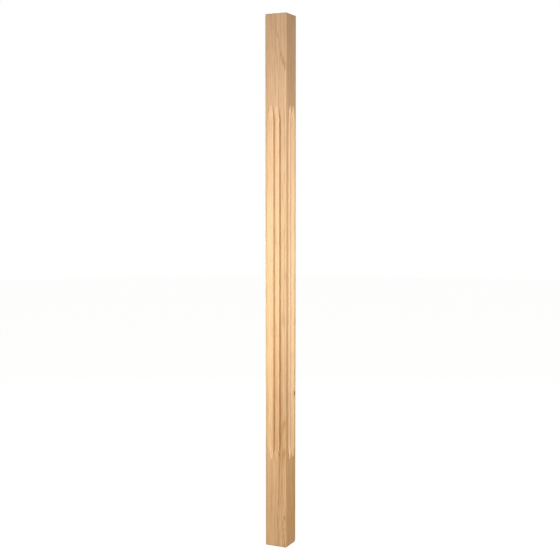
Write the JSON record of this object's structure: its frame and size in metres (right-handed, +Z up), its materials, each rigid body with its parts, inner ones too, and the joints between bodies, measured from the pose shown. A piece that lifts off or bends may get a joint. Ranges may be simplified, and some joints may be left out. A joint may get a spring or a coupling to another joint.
{
  "type": "stair spindle",
  "caption": "Square softwood stair spindle, plain at both ends, with stopped flutes side by side along the middle of every face.",
  "frame": {"origin": "middle of the bottom end, where the spindle stands in the base rail", "axes": "+Z up along the spindle to the handrail; -Y is the broad face of the picture and +X the narrow one"},
  "size_m": [0.0386, 0.0386, 0.9],
  "materials": {
    "pine": "planed pale pine, unfinished and matt"
  },
  "bodies": {
    "root": {"spindle": "pine"}
  },
  "joints": []
}
